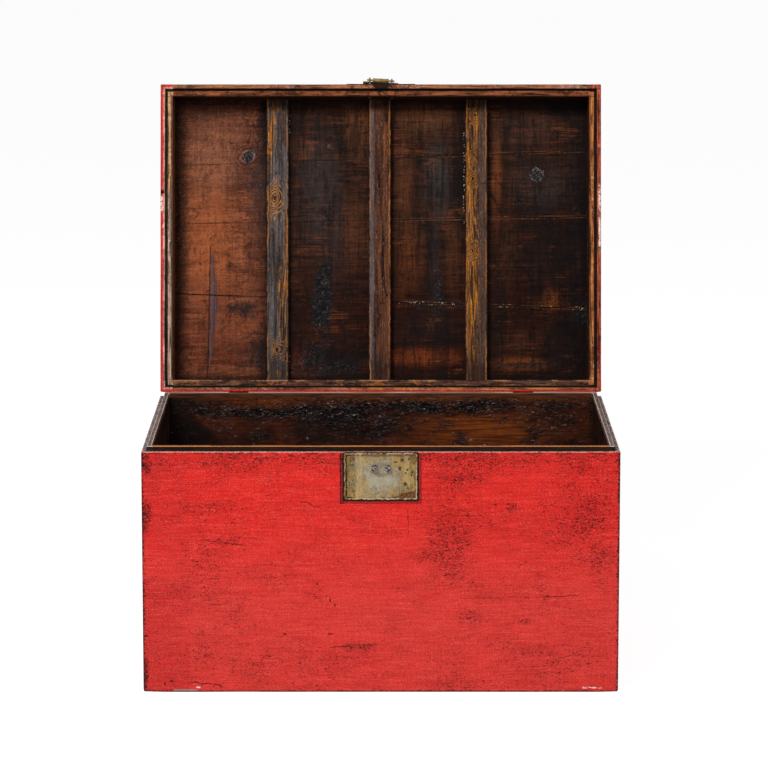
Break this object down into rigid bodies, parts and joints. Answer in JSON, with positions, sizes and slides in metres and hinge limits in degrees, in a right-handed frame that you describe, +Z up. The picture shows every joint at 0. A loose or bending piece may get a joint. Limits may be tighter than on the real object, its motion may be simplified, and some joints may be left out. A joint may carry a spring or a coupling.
{
  "type": "lacquered wooden storage trunk",
  "caption": "Red lacquered wooden trunk with a hinged lid standing open, battens under the lid, inlaid brass lock plates, twin staples and a swinging slotted hasp.",
  "frame": {"origin": "centre of the underside of the carcass, in the plane that rests on the floor", "axes": "+Z up, -Y out of the front face with the lock plate, +X to the right of someone facing that front"},
  "size_m": [0.9, 0.8692, 1.1018],
  "materials": {
    "lacquered_board": "red lacquer outside, brushed on by hand, crazed and worn at the edges; dark oiled and lacquered wood inside",
    "bare_plank": "dark oiled and partly lacquered planks, smoked and crazed",
    "bottom_plank": "plain dark planks, dusty",
    "batten": "rubbed grey-brown and ochre, unfinished",
    "bamboo_peg": "bare bamboo pegs cut flush",
    "old_brass": "dull brass with a grey-green skin, rubbed bright on edges",
    "hinge_iron": "dark forged iron, slightly rusted"
  },
  "bodies": {
    "chest": {"base_front_board": "lacquered_board", "base_back_board": "lacquered_board", "base_left_board": "lacquered_board", "base_right_board": "lacquered_board", "bottom_plank_1": "bottom_plank", "bottom_plank_2": "bottom_plank", "bottom_plank_3": "bottom_plank", "bottom_plank_4": "bottom_plank", "bottom_plank_5": "bottom_plank", "bottom_pegs": "bamboo_peg", "lock_plate": "old_brass", "lock_plate_tacks": "old_brass", "staple_left": "old_brass", "staple_right": "old_brass", "hinge_left_base_leaf": "hinge_iron", "hinge_left_pin": "hinge_iron", "hinge_right_base_leaf": "hinge_iron", "hinge_right_pin": "hinge_iron", "base_hinge_nails": "hinge_iron"},
    "lid": {"lid_front_board": "lacquered_board", "lid_back_board": "lacquered_board", "lid_left_board": "lacquered_board", "lid_right_board": "lacquered_board", "lid_plank_1": "bare_plank", "lid_plank_2": "bare_plank", "lid_plank_3": "bare_plank", "lid_plank_4": "bare_plank", "lid_pegs": "bamboo_peg", "batten_left": "batten", "batten_middle": "batten", "batten_right": "batten", "batten_pegs": "bamboo_peg", "lid_plate": "old_brass", "lid_plate_tacks": "old_brass", "hasp_eye_left": "old_brass", "hasp_eye_right": "old_brass", "hinge_left_lid_leaf": "hinge_iron", "hinge_right_lid_leaf": "hinge_iron", "lid_hinge_nails": "hinge_iron", "hasp_pin": "old_brass"},
    "hasp": {"hasp_leaf": "old_brass"}
  },
  "joints": [
    {"name": "lid_hinge", "type": "hinge", "parent": "chest", "child": "lid", "pos_m": [0, 0.3195, 0.466], "axis": [1, 0, 0], "range_deg": [0, 100.1]},
    {"name": "hasp_hinge", "type": "hinge", "parent": "lid", "child": "hasp", "pos_m": [0, 0.45839, 1.09519], "axis": [0.9986, -0.0092, -0.0515], "range_deg": [0, 170]}
  ]
}
